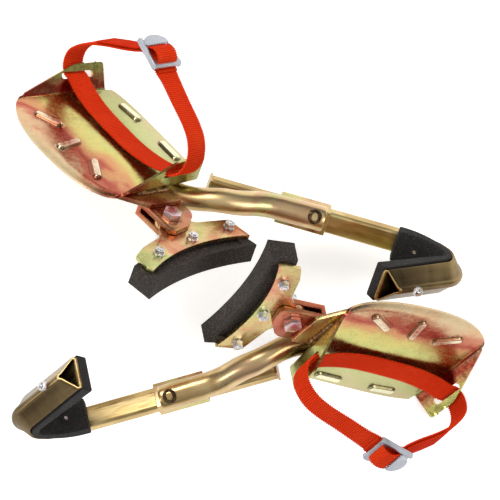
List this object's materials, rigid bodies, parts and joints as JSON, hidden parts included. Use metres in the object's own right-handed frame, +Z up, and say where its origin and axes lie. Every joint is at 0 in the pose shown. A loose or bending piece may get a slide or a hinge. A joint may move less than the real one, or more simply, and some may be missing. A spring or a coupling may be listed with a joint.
{
  "type": "pole climbers",
  "caption": "Pair of climbing irons for round poles: strapped foot plate, bent arm, sliding V hook and pivoting rubber pad on each.",
  "frame": {"origin": "centre of the pair's footprint, on the floor that it lies on", "axes": "+X along the pair's longest side, +Z up from the floor"},
  "size_m": [0.4126, 0.3823, 0.2197],
  "materials": {
    "zinc": "yellow zinc passivated, iridescent",
    "weld": "plated weld bead",
    "steel": "zinc plated fasteners",
    "buckle": "satin grey zinc",
    "rubber": "matte, cord-flecked cut faces",
    "webbing": "ribbed woven webbing"
  },
  "bodies": {
    "left_climber": {"left_foot_plate": "zinc", "left_clevis_gusset": "zinc", "left_arm_tube": "zinc", "left_slide_sleeve": "zinc", "left_plate_welds": "weld", "left_clevis": "zinc", "left_pivot_bolt": "steel", "left_pivot_nut": "steel", "left_strap_webbing": "webbing", "left_buckle_frame": "buckle", "left_buckle_tongue": "buckle"},
    "left_hook": {"left_hook_bar": "zinc", "left_tail_stop": "zinc", "left_hook_lining": "rubber", "left_hook_bolts": "steel", "left_hook_nuts": "steel"},
    "left_pad": {"left_pad_bracket": "zinc", "left_pad_rubber": "rubber", "left_pad_bolts": "steel", "left_pad_nuts": "steel"},
    "right_climber": {"right_foot_plate": "zinc", "right_clevis_gusset": "zinc", "right_arm_tube": "zinc", "right_slide_sleeve": "zinc", "right_plate_welds": "weld", "right_clevis": "zinc", "right_pivot_bolt": "steel", "right_pivot_nut": "steel", "right_strap_webbing": "webbing", "right_buckle_frame": "buckle", "right_buckle_tongue": "buckle"},
    "right_hook": {"right_hook_bar": "zinc", "right_tail_stop": "zinc", "right_hook_lining": "rubber", "right_hook_bolts": "steel", "right_hook_nuts": "steel"},
    "right_pad": {"right_pad_bracket": "zinc", "right_pad_rubber": "rubber", "right_pad_bolts": "steel", "right_pad_nuts": "steel"}
  },
  "joints": [
    {"name": "left_hook_slide", "type": "slide", "parent": "left_climber", "child": "left_hook", "axis": [0.9546, -0.2697, -0.1265], "range_m": [-0.028, 0.06]},
    {"name": "left_pad_pivot", "type": "hinge", "parent": "left_climber", "child": "left_pad", "pos_m": [-0.06515, 0.03785, 0.1405], "axis": [0.2962, 0.8138, 0.5], "range_deg": [-25, 6]},
    {"name": "right_hook_slide", "type": "slide", "parent": "right_climber", "child": "right_hook", "axis": [-0.9553, -0.2671, -0.1265], "range_m": [-0.028, 0.06]},
    {"name": "right_pad_pivot", "type": "hinge", "parent": "right_climber", "child": "right_pad", "pos_m": [0.03885, -0.06495, 0.1405], "axis": [0.1712, -0.8489, 0.5], "range_deg": [-25, 6]},
    {"name": "right_lift_off", "type": "slide", "parent": "left_climber", "child": "right_climber", "axis": [0, 0, 1], "range_m": [0, 0.3]}
  ]
}
